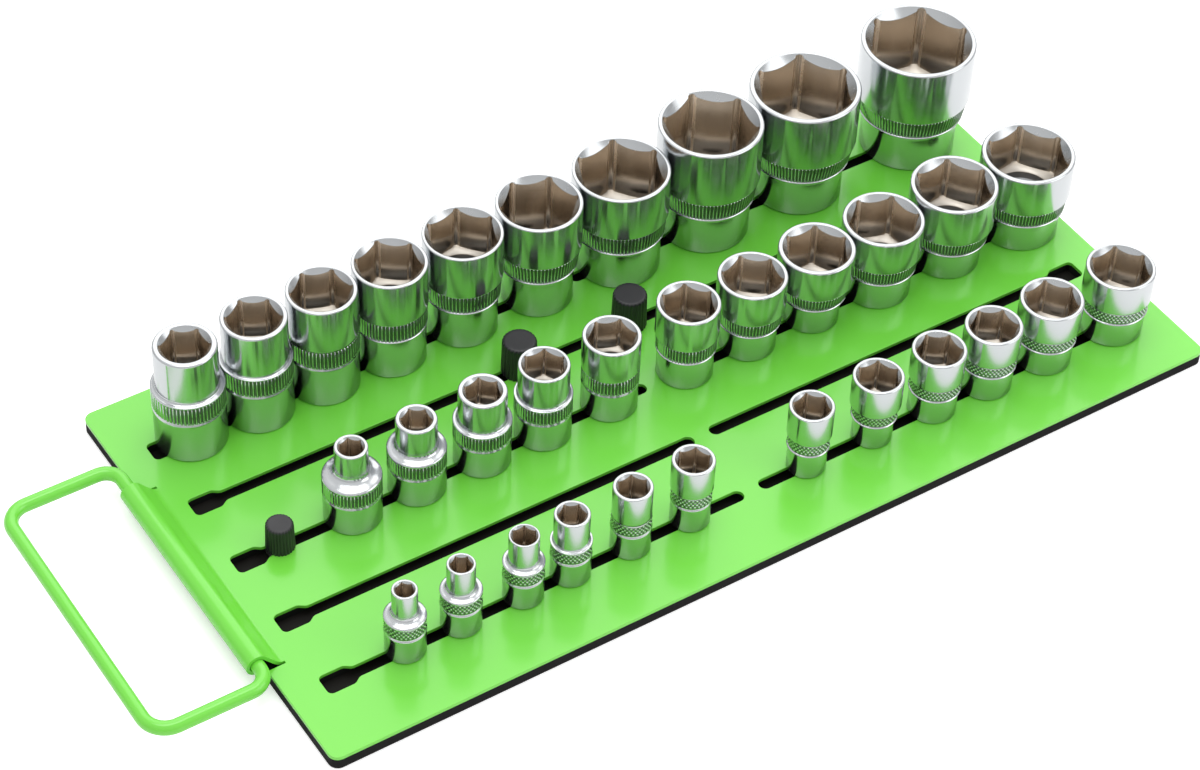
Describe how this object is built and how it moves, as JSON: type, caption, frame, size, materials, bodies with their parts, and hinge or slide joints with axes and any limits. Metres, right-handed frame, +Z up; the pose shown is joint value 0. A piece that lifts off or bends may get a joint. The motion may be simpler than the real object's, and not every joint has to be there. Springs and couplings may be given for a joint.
{
  "type": "magnetic socket tray",
  "caption": "Flat green steel tray with keyed slots, sliding ribbed posts and chrome sockets standing on them in rows, with a swinging wire handle.",
  "frame": {"origin": "on the floor, under the middle of the whole part's box", "axes": "+X along the slots, away from the handle; +Y towards the row of half-inch sockets; +Z up"},
  "size_m": [0.3418, 0.149, 0.0459],
  "materials": {
    "green_paint": "gloss powder coat",
    "black_pad": "matte",
    "magnet_sheet": "matte",
    "black_plastic": "satin",
    "foot_metal": "zinc plated",
    "chrome": "satin chrome"
  },
  "bodies": {
    "tray": {"plate": "green_paint", "pad": "black_pad", "magnetic_sheet": "magnet_sheet", "half_posts": "black_plastic", "half_feet": "foot_metal", "three_eighth_posts": "black_plastic", "three_eighth_feet": "foot_metal", "quarter_posts": "black_plastic", "quarter_feet": "foot_metal"},
    "handle_body": {"handle": "green_paint"},
    "bare_half_1": {"bare_half_post_1": "black_plastic", "bare_half_foot_1": "foot_metal"},
    "bare_half_2": {"bare_half_post_2": "black_plastic", "bare_half_foot_2": "foot_metal"},
    "bare_three_eighth": {"bare_three_eighth_post": "black_plastic", "bare_three_eighth_foot": "foot_metal"},
    "half_socket_1_body": {"half_socket_1": "chrome"},
    "half_socket_2_body": {"half_socket_2": "chrome"},
    "half_socket_3_body": {"half_socket_3": "chrome"},
    "half_socket_4_body": {"half_socket_4": "chrome"},
    "half_socket_5_body": {"half_socket_5": "chrome"},
    "half_socket_6_body": {"half_socket_6": "chrome"},
    "half_socket_7_body": {"half_socket_7": "chrome"},
    "half_socket_8_body": {"half_socket_8": "chrome"},
    "half_socket_9_body": {"half_socket_9": "chrome"},
    "half_socket_10_body": {"half_socket_10": "chrome"},
    "three_eighth_socket_1_body": {"three_eighth_socket_1": "chrome"},
    "three_eighth_socket_2_body": {"three_eighth_socket_2": "chrome"},
    "three_eighth_socket_3_body": {"three_eighth_socket_3": "chrome"},
    "three_eighth_socket_4_body": {"three_eighth_socket_4": "chrome"},
    "three_eighth_socket_5_body": {"three_eighth_socket_5": "chrome"},
    "three_eighth_socket_6_body": {"three_eighth_socket_6": "chrome"},
    "three_eighth_socket_7_body": {"three_eighth_socket_7": "chrome"},
    "three_eighth_socket_8_body": {"three_eighth_socket_8": "chrome"},
    "three_eighth_socket_9_body": {"three_eighth_socket_9": "chrome"},
    "three_eighth_socket_10_body": {"three_eighth_socket_10": "chrome"},
    "three_eighth_socket_11_body": {"three_eighth_socket_11": "chrome"},
    "quarter_socket_1_body": {"quarter_socket_1": "chrome"},
    "quarter_socket_2_body": {"quarter_socket_2": "chrome"},
    "quarter_socket_3_body": {"quarter_socket_3": "chrome"},
    "quarter_socket_4_body": {"quarter_socket_4": "chrome"},
    "quarter_socket_5_body": {"quarter_socket_5": "chrome"},
    "quarter_socket_6_body": {"quarter_socket_6": "chrome"},
    "quarter_socket_7_body": {"quarter_socket_7": "chrome"},
    "quarter_socket_8_body": {"quarter_socket_8": "chrome"},
    "quarter_socket_9_body": {"quarter_socket_9": "chrome"},
    "quarter_socket_10_body": {"quarter_socket_10": "chrome"},
    "quarter_socket_11_body": {"quarter_socket_11": "chrome"},
    "quarter_socket_12_body": {"quarter_socket_12": "chrome"}
  },
  "joints": [
    {"name": "handle_swing", "type": "hinge", "parent": "tray", "child": "handle_body", "pos_m": [-0.13387, 0.0018, 0.0074], "axis": [0, 1, 0], "range_deg": [-8, 110]},
    {"name": "bare_half_1_slide", "type": "slide", "parent": "tray", "child": "bare_half_1", "axis": [1, 0, 0], "range_m": [-0.1054, 0.0249]},
    {"name": "bare_half_2_slide", "type": "slide", "parent": "tray", "child": "bare_half_2", "axis": [1, 0, 0], "range_m": [-0.0011, 0.1292]},
    {"name": "bare_three_eighth_slide", "type": "slide", "parent": "tray", "child": "bare_three_eighth", "axis": [1, 0, 0], "range_m": [-0.0108, 0.01]},
    {"name": "half_lift_1", "type": "slide", "parent": "tray", "child": "half_socket_1_body", "axis": [0, 0, 1], "range_m": [0, 0.05]},
    {"name": "half_lift_2", "type": "slide", "parent": "tray", "child": "half_socket_2_body", "axis": [0, 0, 1], "range_m": [0, 0.05]},
    {"name": "half_lift_3", "type": "slide", "parent": "tray", "child": "half_socket_3_body", "axis": [0, 0, 1], "range_m": [0, 0.05]},
    {"name": "half_lift_4", "type": "slide", "parent": "tray", "child": "half_socket_4_body", "axis": [0, 0, 1], "range_m": [0, 0.05]},
    {"name": "half_lift_5", "type": "slide", "parent": "tray", "child": "half_socket_5_body", "axis": [0, 0, 1], "range_m": [0, 0.05]},
    {"name": "half_lift_6", "type": "slide", "parent": "tray", "child": "half_socket_6_body", "axis": [0, 0, 1], "range_m": [0, 0.05]},
    {"name": "half_lift_7", "type": "slide", "parent": "tray", "child": "half_socket_7_body", "axis": [0, 0, 1], "range_m": [0, 0.05]},
    {"name": "half_lift_8", "type": "slide", "parent": "tray", "child": "half_socket_8_body", "axis": [0, 0, 1], "range_m": [0, 0.05]},
    {"name": "half_lift_9", "type": "slide", "parent": "tray", "child": "half_socket_9_body", "axis": [0, 0, 1], "range_m": [0, 0.05]},
    {"name": "half_lift_10", "type": "slide", "parent": "tray", "child": "half_socket_10_body", "axis": [0, 0, 1], "range_m": [0, 0.05]},
    {"name": "three_eighth_lift_1", "type": "slide", "parent": "tray", "child": "three_eighth_socket_1_body", "axis": [0, 0, 1], "range_m": [0, 0.05]},
    {"name": "three_eighth_lift_2", "type": "slide", "parent": "tray", "child": "three_eighth_socket_2_body", "axis": [0, 0, 1], "range_m": [0, 0.05]},
    {"name": "three_eighth_lift_3", "type": "slide", "parent": "tray", "child": "three_eighth_socket_3_body", "axis": [0, 0, 1], "range_m": [0, 0.05]},
    {"name": "three_eighth_lift_4", "type": "slide", "parent": "tray", "child": "three_eighth_socket_4_body", "axis": [0, 0, 1], "range_m": [0, 0.05]},
    {"name": "three_eighth_lift_5", "type": "slide", "parent": "tray", "child": "three_eighth_socket_5_body", "axis": [0, 0, 1], "range_m": [0, 0.05]},
    {"name": "three_eighth_lift_6", "type": "slide", "parent": "tray", "child": "three_eighth_socket_6_body", "axis": [0, 0, 1], "range_m": [0, 0.05]},
    {"name": "three_eighth_lift_7", "type": "slide", "parent": "tray", "child": "three_eighth_socket_7_body", "axis": [0, 0, 1], "range_m": [0, 0.05]},
    {"name": "three_eighth_lift_8", "type": "slide", "parent": "tray", "child": "three_eighth_socket_8_body", "axis": [0, 0, 1], "range_m": [0, 0.05]},
    {"name": "three_eighth_lift_9", "type": "slide", "parent": "tray", "child": "three_eighth_socket_9_body", "axis": [0, 0, 1], "range_m": [0, 0.05]},
    {"name": "three_eighth_lift_10", "type": "slide", "parent": "tray", "child": "three_eighth_socket_10_body", "axis": [0, 0, 1], "range_m": [0, 0.05]},
    {"name": "three_eighth_lift_11", "type": "slide", "parent": "tray", "child": "three_eighth_socket_11_body", "axis": [0, 0, 1], "range_m": [0, 0.05]},
    {"name": "quarter_lift_1", "type": "slide", "parent": "tray", "child": "quarter_socket_1_body", "axis": [0, 0, 1], "range_m": [0, 0.05]},
    {"name": "quarter_lift_2", "type": "slide", "parent": "tray", "child": "quarter_socket_2_body", "axis": [0, 0, 1], "range_m": [0, 0.05]},
    {"name": "quarter_lift_3", "type": "slide", "parent": "tray", "child": "quarter_socket_3_body", "axis": [0, 0, 1], "range_m": [0, 0.05]},
    {"name": "quarter_lift_4", "type": "slide", "parent": "tray", "child": "quarter_socket_4_body", "axis": [0, 0, 1], "range_m": [0, 0.05]},
    {"name": "quarter_lift_5", "type": "slide", "parent": "tray", "child": "quarter_socket_5_body", "axis": [0, 0, 1], "range_m": [0, 0.05]},
    {"name": "quarter_lift_6", "type": "slide", "parent": "tray", "child": "quarter_socket_6_body", "axis": [0, 0, 1], "range_m": [0, 0.05]},
    {"name": "quarter_lift_7", "type": "slide", "parent": "tray", "child": "quarter_socket_7_body", "axis": [0, 0, 1], "range_m": [0, 0.05]},
    {"name": "quarter_lift_8", "type": "slide", "parent": "tray", "child": "quarter_socket_8_body", "axis": [0, 0, 1], "range_m": [0, 0.05]},
    {"name": "quarter_lift_9", "type": "slide", "parent": "tray", "child": "quarter_socket_9_body", "axis": [0, 0, 1], "range_m": [0, 0.05]},
    {"name": "quarter_lift_10", "type": "slide", "parent": "tray", "child": "quarter_socket_10_body", "axis": [0, 0, 1], "range_m": [0, 0.05]},
    {"name": "quarter_lift_11", "type": "slide", "parent": "tray", "child": "quarter_socket_11_body", "axis": [0, 0, 1], "range_m": [0, 0.05]},
    {"name": "quarter_lift_12", "type": "slide", "parent": "tray", "child": "quarter_socket_12_body", "axis": [0, 0, 1], "range_m": [0, 0.05]}
  ]
}
